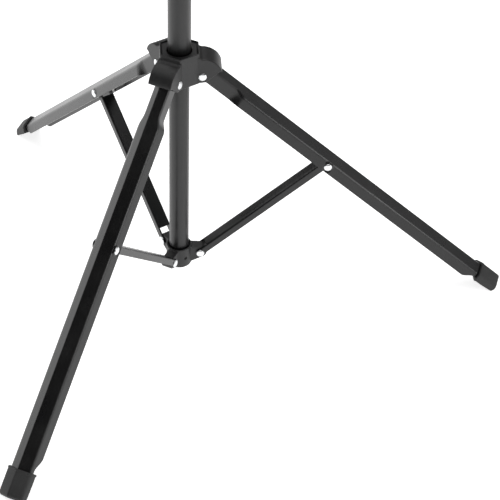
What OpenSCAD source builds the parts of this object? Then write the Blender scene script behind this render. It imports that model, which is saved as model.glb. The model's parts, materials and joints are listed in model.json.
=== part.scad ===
// Folding music stand on a sheet-steel tripod, with a sliding pole and a tilting desk.
// Millimetres, +Z up. The origin is on the floor, at the middle of the stand's footprint.
// The player stands on the -Y side. One leg points at the player, the others back and outwards.

/* [Tripod] */
// Distance from a leg's hub pivot to the end of its rubber boot
leg_reach = 415; // [380:1:450]
// Angle between an opened leg and the pole, in degrees
leg_angle = 47.3; // [43:0.1:50]
// Distance between a leg's two pivots, and the length of a strut between its pivots
link_length = 167; // [150:1:190]
// How much nearer the leg's web the strut pivot lies than the hub pivot
mid_pivot_rise = 3.2; // [2.5:0.1:4]
// Distance of the hub pivots from the pole axis
pivot_radius = 21.5; // [21:0.1:26]
// How far the tripod folds, in degrees
fold_angle = 46.5; // [30:0.5:46.5]

/* [Leg channel] */
// Width of a leg over the lower edges of its flanges
leg_width = 26.4; // [25:0.2:27.4]
// Width of a leg between the bends at the top of its flanges
leg_eave_width = 20.8; // [20.4:0.2:22]
// Outside width of a leg's pinched end, under the hub's hood
leg_neck_width = 16; // [15:0.5:17]
// Height of the bends at the top of the flanges above the hub pivot
leg_eave_height = 8.2; // [7.8:0.1:8.8]
// Height of the ridge along the middle of the leg above the hub pivot
leg_ridge_height = 14.4; // [13.5:0.1:16]
// Height of the pinched end's flat top above the hub pivot
leg_neck_height = 9.4; // [9:0.1:10.4]
// Depth of the leg's flanges below the hub pivot
leg_flange_drop = 2.3; // [2:0.1:3]
// Depth of the pinched end's flanges below the hub pivot
leg_neck_drop = 4.2; // [3.5:0.1:5]
// Distance from the hub pivot to the start of the shoulder
neck_length = 36; // [32:1:44]
// Length of the shoulder, where the channel widens
shoulder_length = 12; // [8:1:18]
// Sheet thickness of the legs
leg_sheet = 1.5; // [1.2:0.1:1.8]
// Outside bend radius of the legs
leg_bend = 2.4; // [2:0.1:3]

/* [Rubber boots] */
// Length of a boot over the leg's end
boot_length = 28; // [22:1:34]
// Wall of a boot
boot_wall = 2.4; // [2:0.1:3]
// Height of the trimmed flanges' lower edges, inside the boot, above the hub pivot
foot_rise = 3.8; // [3.2:0.1:4.6]
// Length of the S-shaped trim between the full flanges and the boot
trim_length = 14; // [10:1:20]
// Thickness of a boot's closed end
boot_nose = 6.4; // [6:0.2:8]
// How much of the boot's lowest corner is worn to a flat
sole_flat = 4; // [3.4:0.1:4.6]

/* [Struts] */
// Outside width of a strut
strut_width = 14; // [13:0.5:15]
// Height of a strut's web over its pivots
strut_web_height = 4.5; // [4:0.1:4.6]
// Depth of a strut's flanges under its pivots
strut_flange_drop = 3.3; // [3:0.1:3.6]
// Sheet thickness of the struts
strut_sheet = 1.2; // [1:0.1:1.3]
// How far a strut's web is cut back from its lower pivot
strut_low_ear = 12; // [11:0.5:20]
// How far a strut's web is cut back from its upper pivot
strut_high_ear = 7; // [6:0.5:20]

/* [Rivets] */
// Radius of the rivets' shanks
rivet_r = 2.5; // [2.2:0.1:2.7]
// Radius of the rivets' heads
rivet_head_r = 4.1; // [3.8:0.1:4.3]
// Height of the rivets' heads
rivet_head_h = 1.5; // [1:0.1:1.8]
// Radial play of a turning hole on its rivet
turn_play = 0.08; // [0.04:0.01:0.1]
// Radial play of the struts' upper holes
open_play = 0.3; // [0.25:0.05:0.5]

/* [Upper hub] */
// Width of a hub arm
arm_width = 24; // [23.5:0.5:28]
// Radius of the arm's hood about the leg pivot
hood_r = 19.6; // [18.5:0.1:22]
// Wall of the hood over the leg
hood_wall = 2.6; // [2:0.1:3]
// Corner radius of the hexagonal collar
collar_r = 21.5; // [20.5:0.5:23]
// Height of the collar's rim over the leg pivots
collar_top = 25.5; // [24:0.5:30]
// Depth of the recess inside the collar's rim
collar_recess = 2.2; // [2:0.1:5]
// Wall of the collar's rim
collar_rim = 1.8; // [1.5:0.1:2.5]
// Height of the hub's underside below the leg pivots
hub_drop = 8.5; // [7.5:0.5:9]

/* [Lower hub] */
// Outside radius of the lower hub's socket
socket_r = 12.8; // [12.4:0.1:13.4]
// Height of the socket's mouth over the strut pivots
socket_rise = 8.5; // [7:0.5:9.5]
// Height of the hub's underside below the strut pivots
socket_drop = 14; // [12:0.5:20]
// Radius of an ear's round end
ear_r = 6.4; // [6:0.1:6.6]

/* [Poles] */
// Outside diameter of the outer pole
outer_pole_d = 22.2; // [21.8:0.1:22.6]
// Wall of the outer pole
outer_pole_wall = 0.9; // [0.8:0.1:1]
// Height of the outer pole's top over the floor
outer_pole_top = 760; // [720:5:900]
// Diameter of the tripod's inner pole and of the upper pole
inner_pole_d = 19.6; // [19.2:0.1:19.8]
// Wall of the two inner poles
inner_pole_wall = 1.2; // [1:0.1:1.5]
// How much of the upper pole still shows above the outer pole when it is pushed right in
pole_stub = 120; // [100:5:160]
// How far the upper pole is drawn out, from its lowest position
drawn_out = 60; // [0:5:160]
// Radial play of the inner poles in their sleeves
slide_play = 0.1; // [0.05:0.01:0.1]

/* [Height clamp] */
// Outside radius of the clamp collar
clamp_r = 17; // [16:0.5:20]
// Height of the clamp collar
clamp_height = 42; // [36:1:50]
// Radius of the height knob's grip
knob_r = 15; // [13:0.5:18]
// Length of the height knob's grip
knob_length = 20; // [16:1:24]

/* [Desk] */
// Width of the desk plate
desk_width = 480; // [400:5:520]
// Height of the desk plate
desk_height = 330; // [300:5:360]
// Depth of the shelf that the sheets stand on
shelf_depth = 55; // [40:1:70]
// Height of the lip along the shelf's front
shelf_lip = 12; // [8:1:18]
// Sheet thickness of the desk
desk_sheet = 1.2; // [1:0.1:1.5]
// Angle of the desk from upright, in degrees
desk_tilt = 25; // [15:1:35]
// Height of the tilt axis above the upper pole's top
tilt_rise = 36; // [36:1:44]

/* [Hidden] */
$fn = 64;
eps = 0.01;

// Directions of the three legs: right, front and left
LEG_AZIMUTH = [30, -90, 150];
RIGHT = 0;
FRONT = 1;
LEFT = 2;

// Linkage: the strut and the part of the leg above it are two equal sides
mid_reach = sqrt(pow(link_length, 2) - pow(mid_pivot_rise, 2));
link_angle = leg_angle + asin(mid_pivot_rise / link_length);
boot_low = foot_rise - boot_wall;
hub_z = leg_reach * cos(leg_angle) - boot_low * sin(leg_angle) - sole_flat;
lower_hub_z = hub_z - 2 * link_length * cos(link_angle);
fold_drop = 2 * link_length * (cos(link_angle - fold_angle) - cos(link_angle));

// Leg section: two flanges that lean outwards, and a roof of two slopes that meet in a ridge
eave_half = leg_eave_width / 2;
flange_lean = atan((leg_width / 2 - eave_half) / (leg_eave_height + leg_flange_drop));
roof_slope = atan((leg_ridge_height - leg_eave_height) / eave_half);
boot_edge = 2;
fit_gap = 0.02;

// Half width of the section, grown outwards, at a height below its eaves
function flange_half(grow, z) = eave_half + (leg_eave_height - z) * tan(flange_lean) + grow / cos(flange_lean);
function ridge_z(grow) = leg_ridge_height + grow / cos(roof_slope);
function eave_y(grow) = flange_half(grow, ridge_z(grow)) / (1 - tan(flange_lean) * tan(roof_slope));
function eave_z(grow) = ridge_z(grow) - eave_y(grow) * tan(roof_slope);

// Footprint: the front boot's ridge and the back boots' outer eaves set where the pole stands
boot_toe_r = pivot_radius + leg_reach * sin(leg_angle);
boot_front_r = boot_toe_r + (ridge_z(boot_wall) - boot_edge * (1 / cos(roof_slope) - 1)) * cos(leg_angle);
boot_back_y = (boot_toe_r + eave_z(boot_wall) * cos(leg_angle)) * sin(30) + eave_y(boot_wall) * cos(30);
pole_y = (boot_front_r - boot_back_y) / 2;

// Leg and hub fits
neck_half = leg_neck_width / 2;
side_play = 0.4;
slot_half = neck_half + side_play;
leg_tip_r = 6.6;
neck_bend = 3.4;
leg_web_start = -5;
shoulder_end = neck_length + shoulder_length;
leg_end = leg_reach - boot_nose;
boot_start = leg_reach - boot_length;
trim_start = boot_start - trim_length - 2;
trim_points = 12;
corner_points = 6;
seat_half = flange_half(0, mid_pivot_rise);
seat_r = rivet_head_r + 0.5;

// Hub castings
collar_floor = collar_top - collar_recess;
hood_end_z = 5;
cheek_cut_s = 7.5;
cheek_low_z = -6.4;
core_r = 14.2;
hub_pin_r = 1.5;
hub_pin_z = 15.5;
ear_half = strut_width / 2 - strut_sheet - side_play;
strut_tip_r = 4.3;
bush_r = 3.6;
bush_length = seat_half - leg_sheet - strut_width / 2 - 0.3;

// Poles and sleeves
inner_pole_r = inner_pole_d / 2;
outer_pole_r = outer_pole_d / 2;
outer_bore_r = outer_pole_r - outer_pole_wall;
outer_pole_bottom = hub_z - hub_drop + 4;
sleeve_length = 30;
sleeve_flange = 6;
pole_seat = 0.6;
inner_pole_bottom = lower_hub_z - socket_drop + 3;
inner_pole_top = outer_pole_bottom + fold_drop + 50;
plug_length = 12;
plug_cap = 2;
glide_length = 24;
glide_cap = 6;
end_gap = 8;
upper_pole_lowest = inner_pole_top + plug_cap + end_gap + glide_cap;
upper_pole_length = outer_pole_top + pole_stub - upper_pole_lowest;
upper_pole_bottom = upper_pole_lowest + drawn_out;
upper_pole_top = upper_pole_bottom + upper_pole_length;

// Height clamp
clamp_lip = 6;
clamp_z = outer_pole_top - clamp_height + clamp_lip;
boss_r = 9;
boss_reach = 27;
knob_axis_z = outer_pole_top + clamp_lip - 17;
screw_r = 4;
pad_length = 3;
window_r = 5;
screw_start = inner_pole_r + slide_play + pad_length + 0.3;

// Desk
tilt_z = upper_pole_top + tilt_rise;
head_r = 14;
head_depth = 36;
head_cap = 4;
head_screw_r = 3;
cheek_half = 8;
bracket_sheet = 2;
bracket_half = cheek_half + bracket_sheet + 0.3;
tilt_bolt_r = 4;
desk_forward = knob_r + bracket_sheet + 2;
bracket_height = 110;
bracket_wing = 22;
desk_low = -desk_height * 0.45;
desk_corner = 22;
desk_fold = 9;
shelf_rivet_pitch = 140;
shelf_tab = 22;
plate_lap = 4;
rivet_hole_r = 2;
flat_head_r = 3.6;
flat_head_h = 0.9;

module stand_axis() {
    translate([0, pole_y, 0])
        children();
}

module leg_place(i) {
    stand_axis()
        rotate([0, 0, LEG_AZIMUTH[i]])
            children();
}

// Frame of an opened leg: X runs along the channel from the hub pivot, Z points out of its web
module leg_frame(i) {
    leg_place(i)
        translate([pivot_radius, 0, hub_z])
            rotate([0, 90 - leg_angle, 0])
                children();
}

// Frame of an opened strut: X runs from its lower pivot to its upper one, Z points out of its web
module strut_frame(i) {
    leg_place(i)
        translate([pivot_radius, 0, lower_hub_z])
            rotate([0, link_angle - 90, 0])
                children();
}

module tube(outer_r, inner_r, length) {
    difference() {
        cylinder(r = outer_r, h = length);
        translate([0, 0, -1])
            cylinder(r = inner_r, h = length + 2);
    }
}

// Cylinder along Y, centred on Y = 0
module cross_bar(r, length) {
    rotate([90, 0, 0])
        cylinder(r = r, h = length, center = true);
}

// Rivet along Y with a domed head at each end, over a grip of the given width
module rivet(grip) {
    dome_r = (pow(rivet_head_r, 2) + pow(rivet_head_h, 2)) / (2 * rivet_head_h);
    union() {
        cross_bar(rivet_r, grip);
        for (side = [-1, 1])
            rotate([side * 90, 0, 0])
                translate([0, 0, grip / 2])
                    rotate_extrude()
                        intersection() {
                            translate([0, rivet_head_h - dome_r])
                                circle(r = dome_r);
                            square([rivet_head_r, rivet_head_h]);
                        }
    }
}

// Outline of a channel seen from its end, open downwards
module channel_outline(width, top, bottom, sheet, bend) {
    half = width / 2;
    inner_bend = bend - sheet;
    difference() {
        union() {
            translate([-half, bottom])
                square([width, top - bend - bottom]);
            translate([-half + bend, bottom])
                square([width - 2 * bend, top - bottom]);
            for (side = [-1, 1])
                translate([side * (half - bend), top - bend])
                    circle(r = bend);
        }
        translate([-half + sheet, bottom - 1])
            square([width - 2 * sheet, top - bend - bottom + 1]);
        translate([-half + bend, bottom - 1])
            square([width - 2 * bend, top - sheet - bottom + 1]);
        for (side = [-1, 1])
            translate([side * (half - bend), top - bend])
                circle(r = inner_bend);
    }
}

// Unit vector from one point to another
function towards(a, b) = (b - a) / norm(b - a);

// Points of an arc of radius r that rounds the corner at p, between its neighbours a and b
function rounded(a, p, b, r) =
    let (u = towards(p, a), v = towards(p, b))
    let (half_angle = acos(u * v) / 2)
    let (centre = p + towards([0, 0], u + v) * r / sin(half_angle))
    let (first = p + u * r / tan(half_angle) - centre, turn = 180 - 2 * half_angle)
    let (way = u[0] * v[1] - u[1] * v[0] > 0 ? 1 : -1)
    [for (k = [0:corner_points])
        let (t = -way * turn * k / corner_points)
        centre + [first[0] * cos(t) - first[1] * sin(t), first[0] * sin(t) + first[1] * cos(t)]];

// Gable outline of a leg seen from its end, grown outwards, closed by a level line at its foot
function gable_outline(grow, low, bend, low_bend) =
    let (foot = [flange_half(grow, low), low], eave = [eave_y(grow), eave_z(grow)], ridge = [0, ridge_z(grow)])
    let (foot_2 = [-foot[0], foot[1]], eave_2 = [-eave[0], eave[1]])
    concat(low_bend > 0 ? rounded(foot_2, foot, eave, low_bend) : [foot], rounded(foot, eave, ridge, bend),
        rounded(eave, ridge, eave_2, bend), rounded(ridge, eave_2, foot_2, bend),
        low_bend > 0 ? rounded(eave_2, foot_2, foot, low_bend) : [foot_2]);

module gable(grow, low, bend) {
    polygon(gable_outline(grow, low, bend, 0));
}

// Carries an end outline, drawn in Y and Z, along X from one place to another
module along(x0, x1) {
    translate([x0, 0, 0])
        rotate([90, 0, 90])
            linear_extrude(height = x1 - x0)
                children();
}

// Thin slice of a channel's outside or inside, for the shoulder
module section_slice(x, half, bottom, top, bend) {
    along(x, x + eps)
        union() {
            translate([-half, bottom])
                square([2 * half, top - bend - bottom]);
            translate([-half + bend, bottom])
                square([2 * (half - bend), top - bottom]);
            for (side = [-1, 1])
                translate([side * (half - bend), top - bend])
                    circle(r = bend, $fn = 24);
        }
}

// Smooth step from 0 to 1
function smooth(t) = t * t * (3 - 2 * t);

// Lower edge of the flanges, seen from the side: full depth, then an S up to the shallow foot
module flange_trim() {
    low = -leg_flange_drop;
    edge = [for (k = [0:trim_points])
        [trim_start + trim_length * k / trim_points,
            low + (foot_rise - low) * smooth(k / trim_points)]];
    rotate([90, 0, 0])
        linear_extrude(height = 2 * leg_width, center = true)
            polygon(concat(edge, [[leg_reach + 10, foot_rise], [leg_reach + 10, low - 5], [trim_start, low - 5]]));
}

// Flat round seat for the strut's rivet, pressed in both flanges
module rivet_seats(r, inner, outer) {
    translate([mid_reach, 0, mid_pivot_rise])
        for (side = [-1, 1])
            translate([0, side * (inner + outer) / 2, 0])
                cross_bar(r, outer - inner);
}

module leg(i) {
    inner_bend = leg_bend - leg_sheet;
    seat_inner = seat_half - leg_sheet;
    leg_frame(i)
        difference() {
            union() {
                along(leg_web_start, neck_length)
                    channel_outline(leg_neck_width, leg_neck_height, -leg_neck_drop, leg_sheet, neck_bend);
                along(shoulder_end, leg_end)
                    difference() {
                        gable(0, -leg_flange_drop, leg_bend);
                        gable(-leg_sheet, -leg_flange_drop - 1, inner_bend);
                    }
                difference() {
                    hull() {
                        section_slice(neck_length, neck_half, -leg_neck_drop, leg_neck_height, neck_bend);
                        along(shoulder_end - eps, shoulder_end)
                            gable(0, -leg_flange_drop, leg_bend);
                    }
                    hull() {
                        section_slice(neck_length - eps, neck_half - leg_sheet, -leg_neck_drop - 1,
                            leg_neck_height - leg_sheet, neck_bend - leg_sheet);
                        along(shoulder_end, shoulder_end + eps)
                            gable(-leg_sheet, -leg_flange_drop - 1, inner_bend);
                    }
                }
                for (side = [-1, 1])
                    translate([0, side * (neck_half - leg_sheet / 2), 0])
                        cross_bar(leg_tip_r, leg_sheet);
                rivet_seats(seat_r, seat_inner, seat_half);
            }
            flange_trim();
            rivet_seats(seat_r, seat_half, leg_width);
            rivet_seats(bush_r + 0.2, strut_width / 2, seat_inner);
            cross_bar(rivet_r + turn_play, leg_width);
            translate([mid_reach, 0, mid_pivot_rise])
                cross_bar(rivet_r, leg_width + 2);
        }
}

module boot(i) {
    difference() {
        leg_frame(i)
            difference() {
                along(boot_start, leg_reach)
                    polygon(gable_outline(boot_wall, boot_low, boot_edge, boot_edge));
                along(boot_start - 1, leg_end + fit_gap)
                    gable(fit_gap, foot_rise - fit_gap, leg_bend);
            }
        leg_place(i)
            translate([0, -leg_width, -50])
                cube([2 * leg_reach, 2 * leg_width, 50]);
    }
}

module strut(i) {
    half = strut_width / 2;
    strut_frame(i)
        difference() {
            union() {
                along(0, link_length)
                    channel_outline(strut_width, strut_web_height, -strut_flange_drop, strut_sheet, 2);
                for (x = [0, link_length], side = [-1, 1])
                    translate([x, side * (half - strut_sheet / 2), 0])
                        cross_bar(strut_tip_r, strut_sheet);
            }
            translate([-10, strut_sheet - half, 0])
                cube([10 + strut_low_ear, strut_width - 2 * strut_sheet, 10]);
            translate([link_length - strut_high_ear, strut_sheet - half, 0])
                cube([10 + strut_high_ear, strut_width - 2 * strut_sheet, 10]);
            cross_bar(rivet_r + turn_play, strut_width + 2);
            translate([link_length, 0, 0])
                cross_bar(rivet_r + open_play, strut_width + 2);
        }
}

module strut_rivet(i) {
    leg_frame(i)
        translate([mid_reach, 0, mid_pivot_rise])
            rivet(2 * seat_half);
}

// Spacers on the strut's rivet, between the leg's flanges and the strut's
module strut_bushes(i) {
    leg_frame(i)
        translate([mid_reach, 0, mid_pivot_rise])
            for (side = [-1, 1])
                translate([0, side * (seat_half - leg_sheet - bush_length / 2), 0])
                    difference() {
                        cross_bar(bush_r, bush_length);
                        cross_bar(rivet_r, bush_length + 1);
                    }
}

// Side outline of one hub arm: a round hood over the leg, cut back below it
module arm_outline() {
    cheek_end_r = pivot_radius + sqrt(pow(hood_r, 2) - pow(hood_end_z, 2)) - 2.6;
    cut_r = pivot_radius + cheek_cut_s * sin(leg_angle) - 1.5;
    union() {
        intersection() {
            translate([pivot_radius, 0])
                circle(r = hood_r);
            translate([pivot_radius - 4, hood_end_z])
                square([hood_r + 10, hood_r]);
        }
        polygon([[0, -hub_drop], [6, -hub_drop], [cut_r, cheek_low_z], [cheek_end_r, hood_end_z],
            [cheek_end_r, hood_end_z + 1], [pivot_radius, hood_r], [11, collar_top - 1], [0, collar_top - 1]]);
    }
}

module hub_arm() {
    rotate([90, 0, 0])
        linear_extrude(height = arm_width, center = true)
            arm_outline();
}

// Room for the leg's end: a slot between the cheeks, open below and outwards
module arm_slot() {
    room_r = hood_r - hood_wall;
    rotate([90, 0, 0])
        linear_extrude(height = 2 * slot_half, center = true)
            difference() {
                union() {
                    intersection() {
                        translate([pivot_radius, 0])
                            circle(r = room_r);
                        translate([core_r, -hub_drop])
                            square([2 * hood_r, 2 * hood_r]);
                    }
                    polygon([[core_r, 8], [core_r, -hub_drop - 10], [80, -hub_drop - 60], [80, -10],
                        [pivot_radius + room_r, hood_end_z]]);
                }
            }
}

module upper_hub() {
    color("dimgray")
        stand_axis()
            translate([0, 0, hub_z])
                difference() {
                    union() {
                        for (azimuth = LEG_AZIMUTH)
                            rotate([0, 0, azimuth])
                                hub_arm();
                        translate([0, 0, -hub_drop])
                            cylinder(r = collar_r, h = hub_drop + collar_top, $fn = 6);
                    }
                    translate([0, 0, collar_floor])
                        cylinder(r = collar_r - collar_rim, h = collar_recess + 1, $fn = 6);
                    translate([0, 0, collar_floor - 3])
                        cylinder(r = outer_pole_r + 0.8, h = 10);
                    translate([0, 0, outer_pole_bottom - hub_z])
                        cylinder(r = outer_pole_r, h = 60);
                    translate([0, 0, -hub_drop - 1])
                        cylinder(r = outer_pole_r - pole_seat, h = 60);
                    for (azimuth = LEG_AZIMUTH)
                        rotate([0, 0, azimuth]) {
                            arm_slot();
                            translate([pivot_radius, 0, 0])
                                cross_bar(rivet_r, arm_width + 2);
                        }
                    hub_pin_hole();
                }
}

// The pin crosses the hub and the outer pole at the back, in the gap between two arms
module hub_pin_place() {
    translate([0, 0, hub_pin_z])
        rotate([-90, 0, 0])
            children();
}

module hub_pin_hole() {
    hub_pin_place()
        cylinder(r = hub_pin_r, h = 30);
}

module hub_pin() {
    color("silver")
        stand_axis()
            translate([0, 0, hub_z])
                hub_pin_place()
                    translate([0, 0, outer_bore_r])
                        cylinder(r = hub_pin_r, h = collar_r * cos(30) - outer_bore_r - 1);
}

module hub_rivets() {
    color("gainsboro")
        for (i = [RIGHT, FRONT, LEFT])
            leg_place(i)
                translate([pivot_radius, 0, hub_z])
                    rivet(arm_width);
}

module outer_pole() {
    color("black")
        stand_axis()
            difference() {
                translate([0, 0, outer_pole_bottom])
                    tube(outer_pole_r, outer_bore_r, outer_pole_top - outer_pole_bottom);
                translate([0, 0, hub_z])
                    hub_pin_hole();
                translate([0, 0, knob_axis_z])
                    rotate([90, 0, 0])
                        cylinder(r = window_r, h = 40);
            }
}

// Plastic sleeve in the outer pole's lower end, in which the inner pole slides as the tripod folds
module lower_sleeve() {
    color("darkslategray")
        stand_axis()
            difference() {
                union() {
                    translate([0, 0, outer_pole_bottom])
                        cylinder(r = outer_bore_r, h = sleeve_length);
                    translate([0, 0, outer_pole_bottom - sleeve_flange])
                        cylinder(r = outer_pole_r - pole_seat, h = sleeve_flange);
                }
                translate([0, 0, outer_pole_bottom - sleeve_flange - 1])
                    cylinder(r = inner_pole_r + slide_play, h = sleeve_length + sleeve_flange + 2);
            }
}

module right_leg() { color("black") leg(RIGHT); }
module front_leg() { color("black") leg(FRONT); }
module left_leg() { color("black") leg(LEFT); }
module right_boot() { color("dimgray") boot(RIGHT); }
module front_boot() { color("dimgray") boot(FRONT); }
module left_boot() { color("dimgray") boot(LEFT); }
module right_strut_rivet() { color("gainsboro") strut_rivet(RIGHT); }
module front_strut_rivet() { color("gainsboro") strut_rivet(FRONT); }
module left_strut_rivet() { color("gainsboro") strut_rivet(LEFT); }
module right_strut_bushes() { color("white") strut_bushes(RIGHT); }
module front_strut_bushes() { color("white") strut_bushes(FRONT); }
module left_strut_bushes() { color("white") strut_bushes(LEFT); }
module right_strut() { color("black") strut(RIGHT); }
module front_strut() { color("black") strut(FRONT); }
module left_strut() { color("black") strut(LEFT); }

module ear_outline() {
    union() {
        translate([pivot_radius, 0])
            circle(r = ear_r);
        polygon([[0, -socket_drop], [socket_r, -socket_drop + 2.5], [pivot_radius + 2, -ear_r + 0.3],
            [pivot_radius + 1, ear_r - 0.1], [socket_r, socket_rise - 1.5], [0, socket_rise - 1.5]]);
    }
}

module lower_hub() {
    color("dimgray")
        stand_axis()
            translate([0, 0, lower_hub_z])
                difference() {
                    union() {
                        translate([0, 0, -socket_drop])
                            cylinder(r = socket_r, h = socket_drop + socket_rise);
                        for (azimuth = LEG_AZIMUTH)
                            rotate([0, 0, azimuth])
                                rotate([90, 0, 0])
                                    linear_extrude(height = 2 * ear_half, center = true)
                                        ear_outline();
                    }
                    translate([0, 0, inner_pole_bottom - lower_hub_z])
                        cylinder(r = inner_pole_r, h = 60);
                    translate([0, 0, socket_rise - 3])
                        cylinder(r = inner_pole_r + 1.2, h = 10);
                    for (azimuth = LEG_AZIMUTH)
                        rotate([0, 0, azimuth])
                            translate([pivot_radius, 0, 0])
                                cross_bar(rivet_r, strut_width);
                    lower_screw_hole();
                }
}

module lower_screw_place() {
    rotate([0, 0, LEG_AZIMUTH[RIGHT] - 60])
        translate([0, 0, -3])
            rotate([0, 90, 0])
                children();
}

module lower_screw_hole() {
    lower_screw_place()
        cylinder(r = 1.6, h = 30);
}

module lower_hub_screw() {
    color("silver")
        stand_axis()
            translate([0, 0, lower_hub_z])
                lower_screw_place()
                    translate([0, 0, inner_pole_r])
                        cylinder(r = 1.6, h = socket_r - inner_pole_r - 1);
}

module lower_hub_rivets() {
    color("gainsboro")
        for (i = [RIGHT, FRONT, LEFT])
            leg_place(i)
                translate([pivot_radius, 0, lower_hub_z])
                    rivet(strut_width + 0.2);
}

module inner_pole() {
    color("black")
        stand_axis()
            translate([0, 0, inner_pole_bottom])
                tube(inner_pole_r, inner_pole_r - inner_pole_wall, inner_pole_top - inner_pole_bottom);
}

module pole_plug(z, length) {
    translate([0, 0, z])
        cylinder(r = inner_pole_r - inner_pole_wall, h = length);
}

module inner_pole_plug() {
    color("darkslategray")
        stand_axis()
            union() {
                pole_plug(inner_pole_top - plug_length, plug_length);
                translate([0, 0, inner_pole_top])
                    cylinder(r = inner_pole_r - 0.3, h = plug_cap);
            }
}

module clamp_collar() {
    color("dimgray")
        stand_axis()
            difference() {
                union() {
                    translate([0, 0, clamp_z])
                        cylinder(r = clamp_r, h = clamp_height - 3);
                    translate([0, 0, clamp_z + clamp_height - 3])
                        cylinder(r1 = clamp_r, r2 = clamp_r - 3, h = 3);
                    translate([0, 0, knob_axis_z])
                        rotate([90, 0, 0])
                            cylinder(r = boss_r, h = boss_reach);
                }
                translate([0, 0, clamp_z - 1])
                    cylinder(r = outer_pole_r, h = clamp_height - clamp_lip + 1);
                translate([0, 0, clamp_z])
                    cylinder(r = inner_pole_r + slide_play, h = clamp_height + 1);
                translate([0, 0, knob_axis_z])
                    rotate([90, 0, 0])
                        cylinder(r = screw_r + turn_play, h = boss_reach + 1);
            }
}

// Pad that the height knob's screw presses on the upper pole, through the outer pole's window
module clamp_pad() {
    color("white")
        stand_axis()
            difference() {
                translate([0, 0, knob_axis_z])
                    rotate([90, 0, 0])
                        cylinder(r = screw_r + turn_play, h = inner_pole_r + slide_play + pad_length);
                cylinder(r = inner_pole_r + slide_play, h = 2 * outer_pole_top);
            }
}

// Round grip with shallow scallops, around an axis along Z
module scalloped_grip(r, length) {
    lobes = 8;
    difference() {
        cylinder(r = r, h = length);
        for (k = [0:lobes - 1])
            rotate([0, 0, k * 360 / lobes])
                translate([r + 2.2, 0, -1])
                    cylinder(r = 4.2, h = length + 2);
    }
}

module height_knob_place() {
    stand_axis()
        translate([0, 0, knob_axis_z])
            rotate([90, 0, 0])
                children();
}

module height_knob_grip() {
    color("dimgray")
        height_knob_place()
            translate([0, 0, boss_reach + 1])
                difference() {
                    union() {
                        cylinder(r = boss_r - 1.5, h = 6);
                        translate([0, 0, 5])
                            scalloped_grip(knob_r, knob_length - 5);
                    }
                    translate([0, 0, -1])
                        cylinder(r = screw_r, h = knob_length - 4);
                }
}

module height_knob_screw() {
    color("silver")
        height_knob_place()
            translate([0, 0, screw_start])
                cylinder(r = screw_r, h = boss_reach + knob_length - 5 - screw_start);
}

module upper_pole() {
    color("black")
        stand_axis()
            translate([0, 0, upper_pole_bottom])
                tube(inner_pole_r, inner_pole_r - inner_pole_wall, upper_pole_length);
}

// Plastic glide on the upper pole's lower end, running in the outer pole
module upper_pole_glide() {
    color("darkslategray")
        stand_axis()
            union() {
                pole_plug(upper_pole_bottom, glide_length);
                translate([0, 0, upper_pole_bottom - glide_cap])
                    cylinder(r = outer_bore_r - slide_play, h = glide_cap);
            }
}

module desk_head() {
    color("dimgray")
        stand_axis()
            translate([0, 0, upper_pole_top])
                difference() {
                    union() {
                        translate([0, 0, -head_depth])
                            cylinder(r = head_r, h = head_depth + head_cap);
                        translate([-cheek_half, -head_r + 3, -2])
                            cube([2 * cheek_half, 2 * (head_r - 3), tilt_rise + 2]);
                        translate([0, 0, tilt_rise])
                            rotate([0, 90, 0])
                                cylinder(r = head_r - 3, h = 2 * cheek_half, center = true);
                    }
                    translate([0, 0, -head_depth - 1])
                        cylinder(r = inner_pole_r + slide_play, h = head_depth + 1.3);
                    translate([0, 0, tilt_rise])
                        rotate([0, 90, 0])
                            cylinder(r = tilt_bolt_r, h = 40, center = true);
                    head_screw_place()
                        cylinder(r = head_screw_r, h = 30);
                }
}

module head_screw_place() {
    translate([0, 0, -head_depth / 2])
        rotate([-90, 0, 0])
            children();
}

// Retaining screw that keeps the head on the upper pole while it turns
module desk_head_screw() {
    color("silver")
        stand_axis()
            translate([0, 0, upper_pole_top])
                head_screw_place()
                    translate([0, 0, inner_pole_r + 0.2])
                        cylinder(r = head_screw_r, h = head_r - inner_pole_r - 1);
}

module tilt_place() {
    stand_axis()
        translate([0, 0, tilt_z])
            children();
}

// Bolt along X that the desk tilts on, with a flat round head on the left
module tilt_bolt() {
    color("silver")
        tilt_place()
            rotate([0, 90, 0])
                union() {
                    translate([0, 0, -bracket_half - 4.6])
                        cylinder(r = tilt_bolt_r, h = 2 * bracket_half + 4.6 + 16);
                    translate([0, 0, -bracket_half - 5.6])
                        cylinder(r = 8, h = 3.4);
                }
}

// Friction washers between the bracket's cheeks and the bolt head and knob
module tilt_washers() {
    color("white")
        tilt_place()
            rotate([0, 90, 0])
                for (x = [-bracket_half - 1.7, bracket_half + 0.3])
                    translate([0, 0, x])
                        tube(9, tilt_bolt_r, 1.4);
}

module tilt_knob_nut() {
    color("silver")
        tilt_place()
            rotate([0, 90, 0])
                translate([0, 0, bracket_half + 2.2])
                    tube(7, tilt_bolt_r + turn_play, 10);
}

module tilt_knob_grip() {
    color("dimgray")
        tilt_place()
            rotate([0, 90, 0])
                translate([0, 0, bracket_half + 2.2])
                    difference() {
                        union() {
                            cylinder(r = 9.5, h = 5);
                            translate([0, 0, 4])
                                scalloped_grip(knob_r, knob_length - 4);
                        }
                        translate([0, 0, -1])
                            cylinder(r = 7, h = 11);
                        translate([0, 0, -1])
                            cylinder(r = tilt_bolt_r + 0.6, h = 17.5);
                    }
}

// Frame of the desk: X across, Y up the plate, Z out of its front towards the player
module desk_frame() {
    tilt_place()
        rotate([90 - desk_tilt, 0, 0])
            children();
}

module bracket_cheek_outline() {
    union() {
        circle(r = 11);
        polygon([[-11, 2], [-desk_forward, 14 + bracket_height / 2], [-desk_forward, -bracket_height / 2],
            [-6, -24], [11, -2]]);
    }
}

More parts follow.
